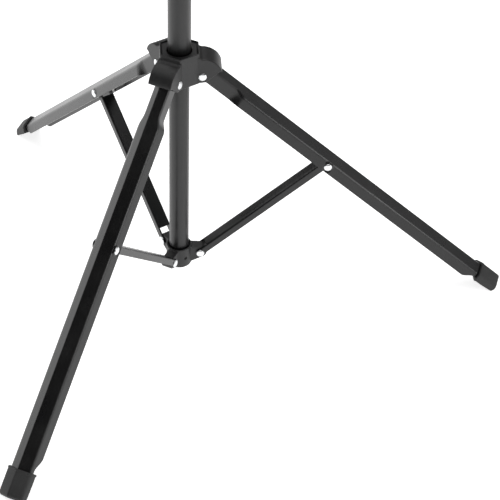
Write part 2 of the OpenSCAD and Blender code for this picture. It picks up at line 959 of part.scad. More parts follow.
// Folded bracket: two cheeks on the tilt bolt and a back plate against the desk
module desk_bracket() {
    color("black")
        desk_frame()
            difference() {
                union() {
                    for (side = [-1, 1])
                        translate([side * (bracket_half - bracket_sheet / 2), 0, 0])
                            rotate([0, 90, 0])
                                linear_extrude(height = bracket_sheet, center = true)
                                    bracket_cheek_outline();
                    translate([-bracket_half - bracket_wing, -bracket_height / 2, desk_forward - bracket_sheet])
                        cube([2 * (bracket_half + bracket_wing), bracket_height + 14, bracket_sheet]);
                }
                rotate([0, 90, 0])
                    cylinder(r = tilt_bolt_r + turn_play, h = 80, center = true);
                bracket_rivet_holes();
            }
}

module bracket_rivet_points() {
    for (x = [-1, 1], y = [-bracket_height / 2 + 12, bracket_height / 2 + 2])
        translate([x * (bracket_half + bracket_wing / 2), y, 0])
            children();
}

module bracket_rivet_holes() {
    bracket_rivet_points()
        cylinder(r = rivet_hole_r, h = 80);
}

// Rounded plate with folded side and top edges. Its lowest strip is set back by one sheet for the shelf's tab
module desk_plate() {
    top = desk_low + desk_height;
    half = desk_width / 2;
    color("black")
        desk_frame()
            difference() {
                translate([0, 0, desk_forward])
                    union() {
                        linear_extrude(height = desk_sheet)
                            plate_outline(half, desk_low + shelf_tab, top, desk_corner);
                        translate([-half, desk_low, -desk_sheet])
                            cube([desk_width, shelf_tab + plate_lap, desk_sheet]);
                        translate([0, 0, -desk_fold])
                            linear_extrude(height = desk_fold)
                                difference() {
                                    plate_outline(half, desk_low, top, desk_corner);
                                    translate([0, -10])
                                        plate_outline(half - desk_sheet, desk_low - 10, top - desk_sheet + 10,
                                            desk_corner - desk_sheet);
                                }
                    }
                bracket_rivet_holes();
                shelf_rivet_holes();
            }
}

// Plate outline with round upper corners and square lower ones
module plate_outline(half, low, top, corner) {
    union() {
        translate([-half, low])
            square([2 * half, top - low - corner]);
        translate([-half + corner, low])
            square([2 * (half - corner), top - low]);
        for (side = [-1, 1])
            translate([side * (half - corner), top - corner])
                circle(r = corner);
    }
}

module shelf_rivet_points() {
    for (k = [-1:1])
        translate([k * shelf_rivet_pitch, desk_low + shelf_tab / 2 + desk_sheet, 0])
            children();
}

module shelf_rivet_holes() {
    shelf_rivet_points()
        cylinder(r = rivet_hole_r, h = desk_forward + 10);
}

// Shelf in one folded strip: a tab on the plate's front, the ledge, and the lip
module desk_shelf() {
    front = desk_forward;
    half = desk_width / 2;
    tab_top = desk_low + shelf_tab - 0.3;
    color("black")
        desk_frame()
            difference() {
                translate([-half, 0, 0])
                    rotate([90, 0, 90])
                        linear_extrude(height = desk_width)
                            polygon([[desk_low, front], [tab_top, front],
                                [tab_top, front + desk_sheet],
                                [desk_low + desk_sheet, front + desk_sheet],
                                [desk_low + desk_sheet, front + shelf_depth - desk_sheet],
                                [desk_low + shelf_lip, front + shelf_depth - desk_sheet],
                                [desk_low + shelf_lip, front + shelf_depth],
                                [desk_low, front + shelf_depth]]);
                shelf_rivet_holes();
            }
}

// Rivet with a flat head behind the sheets, and one before them unless it is flush
module flat_rivet(z0, z1, flush) {
    union() {
        translate([0, 0, z0])
            cylinder(r = rivet_hole_r, h = z1 - z0);
        if (!flush)
            translate([0, 0, z1])
                cylinder(r = flat_head_r, h = flat_head_h);
        translate([0, 0, z0 - flat_head_h])
            cylinder(r = flat_head_r, h = flat_head_h);
    }
}

module desk_rivets() {
    color("black")
        desk_frame()
            bracket_rivet_points()
                flat_rivet(desk_forward - bracket_sheet, desk_forward + desk_sheet, true);
}

module shelf_rivets() {
    color("black")
        desk_frame()
            shelf_rivet_points()
                flat_rivet(desk_forward - desk_sheet, desk_forward + desk_sheet, false);
}

upper_hub();
outer_pole();
hub_rivets();
hub_pin();
lower_sleeve();
right_leg();
front_leg();
left_leg();
right_boot();
front_boot();
left_boot();
right_strut_rivet();
front_strut_rivet();
left_strut_rivet();
right_strut_bushes();
front_strut_bushes();
left_strut_bushes();
right_strut();
front_strut();
left_strut();
lower_hub();
lower_hub_rivets();
lower_hub_screw();
inner_pole();
inner_pole_plug();
clamp_collar();
clamp_pad();
height_knob_grip();
height_knob_screw();
upper_pole();
upper_pole_glide();
desk_head();
desk_head_screw();
tilt_bolt();
tilt_washers();
tilt_knob_grip();
tilt_knob_nut();
desk_bracket();
desk_plate();
desk_shelf();
desk_rivets();
shelf_rivets();
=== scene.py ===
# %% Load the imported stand
import json
import math
import bmesh
import bpy
import numpy as np
from mathutils import Matrix, Vector

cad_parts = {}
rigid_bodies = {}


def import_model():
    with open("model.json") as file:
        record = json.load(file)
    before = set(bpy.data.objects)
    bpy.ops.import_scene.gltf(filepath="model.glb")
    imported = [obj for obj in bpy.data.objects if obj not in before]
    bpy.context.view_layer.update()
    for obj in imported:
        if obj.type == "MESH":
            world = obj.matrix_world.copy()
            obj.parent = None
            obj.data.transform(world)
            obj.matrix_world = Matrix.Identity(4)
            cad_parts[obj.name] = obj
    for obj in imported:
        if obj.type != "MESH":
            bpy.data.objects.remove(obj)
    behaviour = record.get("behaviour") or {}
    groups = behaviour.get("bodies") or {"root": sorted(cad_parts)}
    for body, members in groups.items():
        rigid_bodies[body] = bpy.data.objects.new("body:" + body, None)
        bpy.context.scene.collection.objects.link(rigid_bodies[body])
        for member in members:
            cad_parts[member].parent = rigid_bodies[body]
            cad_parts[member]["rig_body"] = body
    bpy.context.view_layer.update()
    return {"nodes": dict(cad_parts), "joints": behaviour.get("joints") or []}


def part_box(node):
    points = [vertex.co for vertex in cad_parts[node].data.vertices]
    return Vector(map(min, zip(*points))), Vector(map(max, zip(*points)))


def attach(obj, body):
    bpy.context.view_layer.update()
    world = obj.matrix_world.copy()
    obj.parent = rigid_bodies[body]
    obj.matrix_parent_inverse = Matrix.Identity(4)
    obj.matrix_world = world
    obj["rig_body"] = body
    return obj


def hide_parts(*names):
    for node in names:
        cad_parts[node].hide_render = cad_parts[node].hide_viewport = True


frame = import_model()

MM = 0.001
nodes = frame["nodes"]
joints = {joint["name"]: joint for joint in frame["joints"]}
print("nodes:", len(nodes), "joints:", len(joints))

# %% [markdown]
# The stand is a folding tripod of black sheet steel. Three legs hang from a plastic hub on the
# outer pole, three struts join them to a lower hub on the inner pole, and a desk sits on top.
# Everything turns about pins, so the pins are the best places to measure from: each hinge of
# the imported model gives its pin's centre and direction.

# %% Places to measure from
SIDES = ("right", "front", "left")


def pin_frame(joint_name):
    """Pin centre, direction away from the pole, and pin direction of a hinge of the tripod."""
    joint = joints[joint_name]
    pin = np.array(joint["axis"], float)
    away = np.array([pin[1], -pin[0], 0.0])
    return np.array(joint["pos_m"], float), away, pin


UP = np.array([0.0, 0.0, 1.0])
hub_pins = {side: pin_frame(side + "_leg_fold") for side in SIDES}
foot_pins = {side: pin_frame(side + "_strut_foot") for side in SIDES}
pole_place = np.array(joints["desk_turn"]["pos_m"], float) * [1, 1, 0]
print("pole stands at", pole_place.round(4))
print("leg pins at height", round(float(hub_pins["front"][0][2]), 4))

# %% [markdown]
# A sheet-metal or moulded part is easiest to describe as a grid of points: one parameter runs
# along the part and the other round its section. The helper below joins such a grid into a
# closed skin. It merges the points that meet at poles and seams, and turns every face outwards.

# %% Grid of points to closed skin
MERGE_DISTANCE, THIN_DISTANCE = 0.002 * MM, 0.001 * MM
SHARP_DEGREES = 32


def finish_mesh(obj, sharp_degrees):
    """Merges points that coincide, turns faces outwards and shades all but sharp edges smooth."""
    skin = bmesh.new()
    skin.from_mesh(obj.data)
    bmesh.ops.remove_doubles(skin, verts=skin.verts, dist=MERGE_DISTANCE)
    bmesh.ops.dissolve_degenerate(skin, edges=skin.edges, dist=THIN_DISTANCE)
    bmesh.ops.recalc_face_normals(skin, faces=skin.faces)
    skin.to_mesh(obj.data)
    skin.free()
    obj.data.shade_smooth()
    obj.data.set_sharp_from_angle(angle=math.radians(sharp_degrees))
    return obj


def grid_faces(rows, cols, wrap_rows, wrap_cols):
    """Four corners of every cell of a grid, whose last row or column meets the first if it wraps."""
    r = np.arange(rows if wrap_rows else rows - 1)[:, None]
    c = np.arange(cols if wrap_cols else cols - 1)[None, :]
    r2, c2 = (r + 1) % rows, (c + 1) % cols
    corners = [r * cols + c, r * cols + c2, r2 * cols + c2, r2 * cols + c]
    return np.stack(corners, axis=-1).reshape(-1, 4)


def skin_of(name, points, wrap_rows=False, wrap_cols=True, extra=None, sharp_degrees=SHARP_DEGREES):
    """Object whose surface joins a grid of points (rows, columns, xyz)."""
    rows, cols = points.shape[:2]
    faces = grid_faces(rows, cols, wrap_rows, wrap_cols)
    if extra is not None:
        faces = np.vstack([faces, extra])
    mesh = bpy.data.meshes.new(name)
    mesh.from_pydata(points.reshape(-1, 3).tolist(), [], faces.tolist())
    obj = bpy.data.objects.new(name, mesh)
    bpy.context.scene.collection.objects.link(obj)
    return finish_mesh(obj, sharp_degrees)


def placed(local, origin, x_axis, y_axis, z_axis):
    """Points given along three axes, moved to the place where those axes stand."""
    return origin + local[..., 0:1] * x_axis + local[..., 1:2] * y_axis + local[..., 2:3] * z_axis


def smooth_step(t):
    """Goes from 0 to 1 with level ends: three t squared less two t cubed."""
    t = np.clip(t, 0.0, 1.0)
    return t * t * (3.0 - 2.0 * t)


print("a grid of 2 by 4 points that wraps has", len(grid_faces(2, 4, False, True)), "faces")

# %% [markdown]
# Every finished piece has to move with the right part of the stand and take the place of the
# plain part that it covers. One helper does both: it looks up the body in the imported model,
# so that no piece can be booked under the wrong one, and gives the piece its material.

# %% Pieces and what they stand for
pieces = []


def stands_for(obj, cad_nodes, material):
    """Gives a finished piece its material and its body, and hides the CAD nodes that it replaces."""
    first = cad_nodes[0]
    obj.data.materials.clear()
    obj.data.materials.append(materials[material])
    body = nodes[first]["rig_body"]
    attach(obj, body)
    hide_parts(*cad_nodes)
    pieces.append(obj.name)
    return obj


# %% [markdown]
# Every finish on this stand is close to black, so the eye tells them apart by their gloss and
# by the fine relief in the highlights. Three shader groups serve all of them: a relief of small
# rounded grains, a mask of faint dust and rubs, and a slow drift of tone. Each group only hands
# out values, and each material keeps its own shader.

# %% Shared relief, dust and drift
def new_group(name, inputs, outputs):
    """Empty shader group with named number inputs and outputs."""
    group = bpy.data.node_groups.new(name, "ShaderNodeTree")
    for label, value in inputs.items():
        socket = group.interface.new_socket(label, in_out="INPUT", socket_type="NodeSocketFloat")
        socket.default_value = value
    for label in outputs:
        group.interface.new_socket(label, in_out="OUTPUT", socket_type="NodeSocketFloat")
    return group, group.nodes.new("NodeGroupInput"), group.nodes.new("NodeGroupOutput")


def scaled_place(group, entry, label):
    """Object coordinates multiplied by the group's input of that name."""
    place = group.nodes.new("ShaderNodeTexCoord")
    scale = group.nodes.new("ShaderNodeVectorMath")
    scale.operation = "SCALE"
    group.links.new(place.outputs["Object"], scale.inputs[0])
    group.links.new(entry.outputs[label], scale.inputs["Scale"])
    return scale.outputs[0]


def ranged(tree, source, low_in, high_in, low_out, high_out):
    """Value mapped from one range to another and kept inside it."""
    node = tree.nodes.new("ShaderNodeMapRange")
    node.clamp = True
    labels = ("From Min", "From Max", "To Min", "To Max")
    for label, value in zip(labels, (low_in, high_in, low_out, high_out)):
        node.inputs[label].default_value = value
    tree.links.new(source, node.inputs["Value"])
    return node.outputs["Result"]


def maths(tree, operation, a, b):
    """Result of a maths node on two sockets or numbers."""
    node = tree.nodes.new("ShaderNodeMath")
    node.operation = operation
    for k, value in enumerate((a, b)):
        if isinstance(value, (int, float)):
            node.inputs[k].default_value = value
        else:
            tree.links.new(value, node.inputs[k])
    return node.outputs[0]


def noise(tree, vector, scale, detail):
    """Value of a noise texture at a place."""
    node = tree.nodes.new("ShaderNodeTexNoise")
    node.inputs["Scale"].default_value = scale
    node.inputs["Detail"].default_value = detail
    tree.links.new(vector, node.inputs["Vector"])
    return node.outputs[0]


def make_grain_group():
    """Relief of paint or mould texture: fine noise, softened by a coarser orange peel."""
    inputs = {"Grains per metre": 900.0, "Peel share": 0.5}
    group, entry, leave = new_group("fine relief", inputs, ["Height"])
    vector = scaled_place(group, entry, "Grains per metre")
    fine = noise(group, vector, scale=1.0, detail=2.0)
    peel = noise(group, vector, scale=0.33, detail=1.0)
    rest = maths(group, "SUBTRACT", 1.0, entry.outputs["Peel share"])
    fine_part = maths(group, "MULTIPLY", fine, rest)
    peel_part = maths(group, "MULTIPLY", peel, entry.outputs["Peel share"])
    group.links.new(maths(group, "ADD", fine_part, peel_part), leave.inputs["Height"])
    return group


def make_dust_group():
    """Mask of faint rubs and dust: sparse blotches times fine specks, thicker on top faces."""
    inputs = {"Blotches per metre": 40.0, "Amount": 0.3}
    group, entry, leave = new_group("dust and rubs", inputs, ["Mask"])
    vector = scaled_place(group, entry, "Blotches per metre")
    patches = ranged(group, noise(group, vector, scale=1.0, detail=4.0), 0.48, 0.72, 0.0, 1.0)
    specks = ranged(group, noise(group, vector, scale=17.0, detail=2.0), 0.45, 0.7, 0.2, 1.0)
    face = group.nodes.new("ShaderNodeNewGeometry")
    split = group.nodes.new("ShaderNodeSeparateXYZ")
    group.links.new(face.outputs["Normal"], split.inputs[0])
    upward = ranged(group, split.outputs["Z"], -0.2, 1.0, 0.35, 1.0)
    mask = maths(group, "MULTIPLY", maths(group, "MULTIPLY", patches, specks), upward)
    group.links.new(maths(group, "MULTIPLY", mask, entry.outputs["Amount"]), leave.inputs["Mask"])
    return group


def make_drift_group():
    """Slow change of tone over a part, between 0 and 1."""
    group, entry, leave = new_group("slow drift", {"Waves per metre": 12.0}, ["Tone"])
    wave = noise(group, scaled_place(group, entry, "Waves per metre"), scale=1.0, detail=3.0)
    group.links.new(ranged(group, wave, 0.3, 0.7, 0.0, 1.0), leave.inputs["Tone"])
    return group


grain_group, dust_group, drift_group = make_grain_group(), make_dust_group(), make_drift_group()
print("shader groups:", [g.name for g in (grain_group, dust_group, drift_group)])

# %% [markdown]
# One recipe serves every finish: a tone that drifts from dark to light, dust over it, and grain
# in relief. The dust also dulls the gloss where it lies. Only the recipe's numbers differ.

# %% One recipe for all the finishes
DRIFT_PER_METRE, BLOTCHES_PER_METRE = 14.0, 45.0
DUST_DULLS = 0.4
materials = {}


def use_group(tree, group, **values):
    """Group node in a material, with its own values."""
    node = tree.nodes.new("ShaderNodeGroup")
    node.node_tree = group
    for label, value in values.items():
        node.inputs[label.replace("_", " ")].default_value = value
    return node


def mixed(tree, factor, under, over):
    """Colour between two colours, where the first may be a socket and the second is plain."""
    node = tree.nodes.new("ShaderNodeMix")
    node.data_type = "RGBA"
    if isinstance(under, tuple):
        node.inputs["A"].default_value = (*under, 1.0)
    else:
        tree.links.new(under, node.inputs["A"])
    node.inputs["B"].default_value = (*over, 1.0)
    tree.links.new(factor, node.inputs["Factor"])
    return node.outputs["Result"]


def make_finish(name, dark, light, dust_tone, rough, rough_spread, grains, peel, relief, dust, metallic=0.0):
    """Finish with drifting tone, dust, uneven gloss, and grain whose relief is given in millimetres."""
    material = bpy.data.materials.new(name)
    material.use_nodes = True
    tree = material.node_tree
    shader = tree.nodes["Principled BSDF"]
    shader.inputs["Metallic"].default_value = metallic
    drift = use_group(tree, drift_group, Waves_per_metre=DRIFT_PER_METRE).outputs["Tone"]
    mask = use_group(tree, dust_group, Blotches_per_metre=BLOTCHES_PER_METRE, Amount=dust).outputs["Mask"]
    tone = mixed(tree, drift, dark, light)
    tree.links.new(mixed(tree, mask, tone, dust_tone), shader.inputs["Base Color"])
    clean = ranged(tree, drift, 0.0, 1.0, rough, rough + rough_spread)
    dulled = maths(tree, "MULTIPLY", mask, DUST_DULLS)
    tree.links.new(maths(tree, "ADD", clean, dulled), shader.inputs["Roughness"])
    grain = use_group(tree, grain_group, Grains_per_metre=grains, Peel_share=peel)
    bump = tree.nodes.new("ShaderNodeBump")
    bump.inputs["Strength"].default_value = 1.0
    bump.inputs["Distance"].default_value = relief * MM
    tree.links.new(grain.outputs["Height"], bump.inputs["Height"])
    tree.links.new(bump.outputs["Normal"], shader.inputs["Normal"])
    materials[name] = material


print("recipe takes tone, dust, gloss and grain")

# %% [markdown]
# The tubes, legs and struts are steel with a baked powder coat: black, semi-gloss, with the
# slight orange peel that the powder leaves. The desk's coat is flatter. Hubs, clamp and knobs
# are moulded plastic with a fine spark-eroded skin, the boots are dull rubber, and the rivets
# are bright zinc.

# %% Finishes
DUST = (0.32, 0.31, 0.30)
make_finish("leg coat", dark=(0.004, 0.004, 0.0042), light=(0.007, 0.007, 0.0072), dust_tone=DUST,
            rough=0.24, rough_spread=0.06, grains=700, peel=0.8, relief=0.012, dust=0.05)
make_finish("pole coat", dark=(0.010, 0.010, 0.0103), light=(0.015, 0.015, 0.0154), dust_tone=DUST,
            rough=0.34, rough_spread=0.05, grains=900, peel=0.6, relief=0.010, dust=0.05)
make_finish("desk coat", dark=(0.010, 0.010, 0.0103), light=(0.017, 0.017, 0.0172), dust_tone=DUST,
            rough=0.46, rough_spread=0.08, grains=1300, peel=0.4, relief=0.03, dust=0.10)
make_finish("moulded plastic", dark=(0.012, 0.012, 0.0123), light=(0.018, 0.018, 0.0184), dust_tone=DUST,
            rough=0.42, rough_spread=0.07, grains=2200, peel=0.2, relief=0.03, dust=0.06)
make_finish("knob plastic", dark=(0.013, 0.013, 0.0133), light=(0.020, 0.020, 0.0204), dust_tone=DUST,
            rough=0.36, rough_spread=0.07, grains=2600, peel=0.2, relief=0.03, dust=0.06)
make_finish("boot rubber", dark=(0.016, 0.016, 0.0162), light=(0.026, 0.026, 0.0262), dust_tone=DUST,
            rough=0.55, rough_spread=0.10, grains=1500, peel=0.3, relief=0.06, dust=0.10)
make_finish("rivet zinc", dark=(0.72, 0.73, 0.74), light=(0.86, 0.87, 0.88), dust_tone=(0.4, 0.4, 0.4),
            rough=0.22, rough_spread=0.10, grains=1800, peel=0.3, relief=0.02, dust=0.1, metallic=1.0)
make_finish("bolt zinc", dark=(0.55, 0.56, 0.57), light=(0.68, 0.69, 0.70), dust_tone=(0.3, 0.3, 0.3),
            rough=0.30, rough_spread=0.10, grains=1800, peel=0.3, relief=0.02, dust=0.1, metallic=1.0)
make_finish("black oxide", dark=(0.004, 0.004, 0.004), light=(0.007, 0.007, 0.007), dust_tone=DUST,
            rough=0.45, rough_spread=0.06, grains=1800, peel=0.3, relief=0.02, dust=0.05)
make_finish("dark nylon", dark=(0.020, 0.020, 0.020), light=(0.030, 0.030, 0.030), dust_tone=DUST,
            rough=0.38, rough_spread=0.06, grains=2000, peel=0.3, relief=0.02, dust=0.05)
make_finish("white nylon", dark=(0.62, 0.61, 0.58), light=(0.70, 0.69, 0.66), dust_tone=(0.4, 0.38, 0.35),
            rough=0.40, rough_spread=0.08, grains=1600, peel=0.3, relief=0.02, dust=0.2)
print("finishes:", sorted(materials))

# %% [markdown]
# The poles are drawn tubes. A tube is a small closed outline turned about the pole's axis: up
# the outside, over the rounded rim, down the bore. Turning an outline covers the rivets as
# well, so one helper does both.

# %% Turned parts
RIM_SHARE = 0.33
POLE_SEGMENTS = 128
POLE_WALLS = {"outer_pole": 0.9 * MM, "inner_pole": 1.2 * MM, "upper_pole": 1.2 * MM}


def turned(name, outline, origin, direction, segments, closed=False):
    """Outline of (radius, distance along the axis) turned about an axis. Closed outlines make rings."""
    outline = np.asarray(outline, float)
    along = np.asarray(direction, float) / np.linalg.norm(direction)
    helper = np.array([1.0, 0.0, 0.0]) if abs(along[0]) < 0.9 else np.array([0.0, 1.0, 0.0])
    side = np.cross(along, helper)
    side /= np.linalg.norm(side)
    other = np.cross(along, side)
    turn = np.linspace(0.0, 2.0 * math.pi, segments, endpoint=False)
    radius, height = outline[:, 0][:, None], outline[:, 1][:, None]
    points = (np.asarray(origin, float) + height[..., None] * along
              + (radius * np.cos(turn))[..., None] * side + (radius * np.sin(turn))[..., None] * other)
    return skin_of(name, points, wrap_rows=closed)


def rounded_corner(centre, radius, start, stop, count=5):
    """Points on an arc about a centre, from one angle to another in degrees."""
    angle = np.radians(np.linspace(start, stop, count))
    return np.stack([centre[0] + radius * np.cos(angle), centre[1] + radius * np.sin(angle)], axis=1)


def tube_outline(outer, inner, low, high):
    """Closed outline of a tube's wall with its four corners rounded by a share of the wall."""
    r = (outer - inner) * RIM_SHARE
    return np.vstack([rounded_corner((outer - r, low + r), r, -90, 0),
                      rounded_corner((outer - r, high - r), r, 0, 90),
                      rounded_corner((inner + r, high - r), r, 90, 180),
                      rounded_corner((inner + r, low + r), r, 180, 270)])


def pole(node, wall):
    """Tube in place of a CAD pole, from that node's own box."""
    low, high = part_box(node)
    outer = (high.x - low.x) / 2
    outline = tube_outline(outer, outer - wall, low.z, high.z)
    obj = turned(node + "_tube", outline, pole_place, UP, POLE_SEGMENTS, closed=True)
    stands_for(obj, [node], "pole coat")
    return 2 * outer / MM


for node, wall in POLE_WALLS.items():
    print(node, round(pole(node, wall), 2), "mm across")

# %% [markdown]
# A leg is one strip of steel folded lengthwise: a roof of two slopes that meet in a ridge, and
# a flange under each eave that leans a little outwards. Near the hub the flanges are pinched
# together and upright, so that the end fits between the cheeks, and over a short shoulder they
# spread to the full section while the ridge runs straight on. At the foot the flanges are
# trimmed away in an S so that the boot slides on. The section is worked out for every station
# along the leg at once. A station is a distance from the hub pin, and heights count outwards
# from the line through it.

# %% Leg section
LEG_ANGLE = math.radians(47.3)
LEG = dict(start=-5 * MM, end=408.6 * MM, sheet=1.5 * MM, drop=2.3 * MM, neck_drop=4.2 * MM,
           bend=2.4 * MM, neck_bend=2.0 * MM, ridge_bend=1.3 * MM, tight_bend=0.4 * MM,
           eave=10.4 * MM, neck_eave=8 * MM, eave_height=8.2 * MM, ridge=14.4 * MM,
           foot_half=13.2 * MM, shoulder=36 * MM, shoulder_length=13 * MM,
           trim=371 * MM, trim_length=14 * MM, foot_rise=3.8 * MM)
LEAN = (LEG["foot_half"] - LEG["eave"]) / (LEG["eave_height"] + LEG["drop"])
SLOPE = (LEG["ridge"] - LEG["eave_height"]) / LEG["eave"]
MID_RISE = 3.2 * MM
SEAT = dict(half=LEG["eave"] + (LEG["eave_height"] - MID_RISE) * LEAN, radius=4.3 * MM, blend=1.6 * MM,
            below_eave=0.6 * MM)
MARGIN = 8 * MM
SEAT_MARGIN = 7 * MM
link = float(np.linalg.norm(np.array(joints["right_strut_top"]["pos_m"]) - hub_pins["right"][0]))
mid_reach = math.sqrt(link ** 2 - MID_RISE ** 2)
MIRROR = np.array([-1.0, 1.0])


def gable_corners(grow, low, eave, eave_height, ridge, lean):
    """Foot, eave and ridge of a gable section after its lines are moved outwards by a distance.

    Moving a line outwards raises the ridge by the distance over the cosine of the slope, and the
    eave is where the moved flange line meets the moved roof line.
    """
    slope = (ridge - eave_height) / eave
    top = ridge + grow * np.hypot(1.0, slope)
    out = grow * np.hypot(1.0, lean)
    eave_y = (eave + (eave_height - top) * lean + out) / (1.0 - lean * slope)
    foot_y = eave + (eave_height - low) * lean + out
    zero = np.zeros_like(top)
    return (np.stack([foot_y, low + zero], -1), np.stack([eave_y, top - eave_y * slope], -1),
            np.stack([zero, top], -1))


def rounded_bend(before, corner, after, length, count=9):
    """Parabola that rounds a corner between two points at one distance from it along its lines."""
    back = before - corner
    on = after - corner
    start = corner + back / np.linalg.norm(back, axis=-1, keepdims=True) * length[:, None]
    stop = corner + on / np.linalg.norm(on, axis=-1, keepdims=True) * length[:, None]
    t = np.linspace(0.0, 1.0, count)[None, :, None]
    return (1 - t) ** 2 * start[:, None] + 2 * t * (1 - t) * corner[:, None] + t ** 2 * stop[:, None]


def gable_path(corners, bend, ridge_bend, flange_points=13, roof_points=4):
    """One side of the sheet at all stations: up one flange, over both slopes, down the other flange."""
    foot, eave, ridge = corners
    arc = rounded_bend(foot, eave, ridge, bend)
    peak = rounded_bend(eave, ridge, eave * MIRROR, ridge_bend)
    t = np.linspace(0.0, 1.0, flange_points)[None, :-1, None]
    flange = foot[:, None] * (1 - t) + arc[:, :1] * t
    t = np.linspace(0.0, 1.0, roof_points + 2)[None, 1:-1, None]
    roof = arc[:, -1:] * (1 - t) + peak[:, :1] * t
    half = np.concatenate([flange, arc, roof], axis=1)
    return np.concatenate([half, peak, half[:, ::-1] * MIRROR], axis=1)


def leg_shape():
    """Stations along a leg, and the section's sizes at each, from the neck to the foot.

    Stations lie closer where the section changes: over the shoulder, at the strut's rivet and
    along the trimmed end. Between two sizes, each value follows the smooth step.
    """
    shoulder_end = LEG["shoulder"] + LEG["shoulder_length"]
    s = np.unique(np.concatenate([
        np.linspace(LEG["start"], LEG["shoulder"] - MARGIN, 8),
        np.linspace(LEG["shoulder"] - MARGIN, shoulder_end + MARGIN, 29),
        np.linspace(shoulder_end + MARGIN + 1 * MM, LEG["trim"], 24),
        np.linspace(mid_reach - SEAT_MARGIN, mid_reach + SEAT_MARGIN, 29),
        np.linspace(LEG["trim"], LEG["trim"] + LEG["trim_length"], 17), [LEG["end"]]]))
    widen = smooth_step((s - LEG["shoulder"]) / LEG["shoulder_length"])
    trim = smooth_step((s - LEG["trim"]) / LEG["trim_length"])
    eave = LEG["neck_eave"] + (LEG["eave"] - LEG["neck_eave"]) * widen
    bend = LEG["neck_bend"] + (LEG["bend"] - LEG["neck_bend"]) * widen
    ridge = np.full_like(s, LEG["ridge"])
    low = -LEG["neck_drop"] + (LEG["neck_drop"] - LEG["drop"]) * widen
    low = low + (LEG["foot_rise"] - low) * trim
    return s, (low, eave, ridge - SLOPE * eave, ridge, LEAN * widen), bend


def pressed_seat(s, path, half):
    """Moves the flanges near the strut's rivet onto a flat round seat that blends into their lean."""
    distance = np.hypot(s[:, None] - mid_reach, path[..., 1] - MID_RISE)
    share = 1.0 - smooth_step((distance - SEAT["radius"]) / SEAT["blend"])
    on_flange = path[..., 1] < LEG["eave_height"] - SEAT["below_eave"]
    y = path[..., 0]
    return np.stack([np.where(on_flange, y + (np.sign(y) * half - y) * share, y), path[..., 1]], axis=-1)


def channel_points(s, outer, inner):
    """Closed sheet from an outside path and an inside path at every station, with both ends capped."""
    loop = np.concatenate([outer, inner[:, ::-1]], axis=1)
    x = np.broadcast_to(s[:, None], loop.shape[:2])
    cols = loop.shape[1]
    k = np.arange(cols // 2 - 1)
    cap = np.stack([k, k + 1, cols - 2 - k, cols - 1 - k], axis=1)
    return np.concatenate([x[..., None], loop], axis=-1), np.vstack([cap, cap + (len(s) - 1) * cols])


def leg_axes(side):
    """Pin centre of a leg, and the directions along it, across it and out of its ridge."""
    pin, away, across = hub_pins[side]
    along = math.sin(LEG_ANGLE) * away - math.cos(LEG_ANGLE) * UP
    outward = math.cos(LEG_ANGLE) * away + math.sin(LEG_ANGLE) * UP
    return pin, along, across, outward


print("strut rivet", round(mid_reach / MM, 2), "mm down the leg")
print("half width there", round(SEAT["half"] / MM, 2), "mm")

# %% [markdown]
# The outside and the inside of the sheet are worked out as two paths and joined along the
# flanges' lower edges and at both ends. All three legs share the points, and only the axes that
# they are placed on differ. The cut edges of the sheet are rolled a little, as paint leaves them.

# %% Legs
ROLLED_EDGE = dict(width=0.25, segments=2, angle=60)


def bevel_edges(obj, label, width, segments, angle):
    """Rounds the edges sharper than an angle, over a width in millimetres."""
    edge = obj.modifiers.new(label, "BEVEL")
    edge.width = width * MM
    edge.segments = segments
    edge.limit_method = "ANGLE"
    edge.angle_limit = math.radians(angle)
    return edge


stations, sizes, bends = leg_shape()
ridge_bends = np.full_like(stations, LEG["ridge_bend"])
inner_bends = np.maximum(bends - LEG["sheet"], LEG["tight_bend"])
outer_path = gable_path(gable_corners(0.0, *sizes), bends, ridge_bends)
inner_path = gable_path(gable_corners(-LEG["sheet"], *sizes), inner_bends, ridge_bends / 2)
leg_points, leg_caps = channel_points(stations, pressed_seat(stations, outer_path, SEAT["half"]),
                                      pressed_seat(stations, inner_path, SEAT["half"] - LEG["sheet"]))
for side in SIDES:
    leg = skin_of(side + "_leg_channel", placed(leg_points, *leg_axes(side)), extra=leg_caps)
    bevel_edges(leg, "rolled edges", **ROLLED_EDGE)
    stands_for(leg, [side + "_leg"], "leg coat")
print("legs:", len(stations), "stations of", leg_points.shape[1], "points")

# %% [markdown]
# The boots are moulded caps that grip the trimmed end of each leg and follow its ridge. The
# mouth has a thin proud rim, the nose is rounded, and the lowest corner is worn flat where it
# meets the floor. Each boot is one skin: out from the middle of the blind inside, over the rim,
# along the outside, and back to the middle of the closed end.

# %% Boots
BOOT = dict(start=387 * MM, end=415 * MM, wall=2.4 * MM, blind=6.4 * MM, nose=3.2 * MM,
            edge=2.6 * MM, inner_edge=1.2 * MM, mouth_edge=1.4 * MM, ridge_share=0.45,
            rim=0.35 * MM, rim_length=1.8 * MM, lip=0.4 * MM, step=0.3 * MM,
            middle=8 * MM, closed=1e-5)


def boot_loop(grow, edge, scale):
    """Closed gable loop with all five corners rounded, shrunk towards its middle by a scale."""
    full = np.ones_like(grow)
    low = LEG["foot_rise"] - grow
    foot, eave, ridge = gable_corners(grow, low, LEG["eave"] * full, LEG["eave_height"] * full,
                                      LEG["ridge"] * full, LEAN * full)
    corners = [foot, eave, ridge, eave * MIRROR, foot * MIRROR]
    lengths = [edge, edge, edge * BOOT["ridge_share"], edge, edge]
    loop = np.concatenate([rounded_bend(corners[k - 1], corners[k], corners[(k + 1) % 5], lengths[k])
                           for k in range(5)], axis=1)
    middle = np.array([0.0, BOOT["middle"]])
    return middle + (loop - middle) * scale[:, None, None]


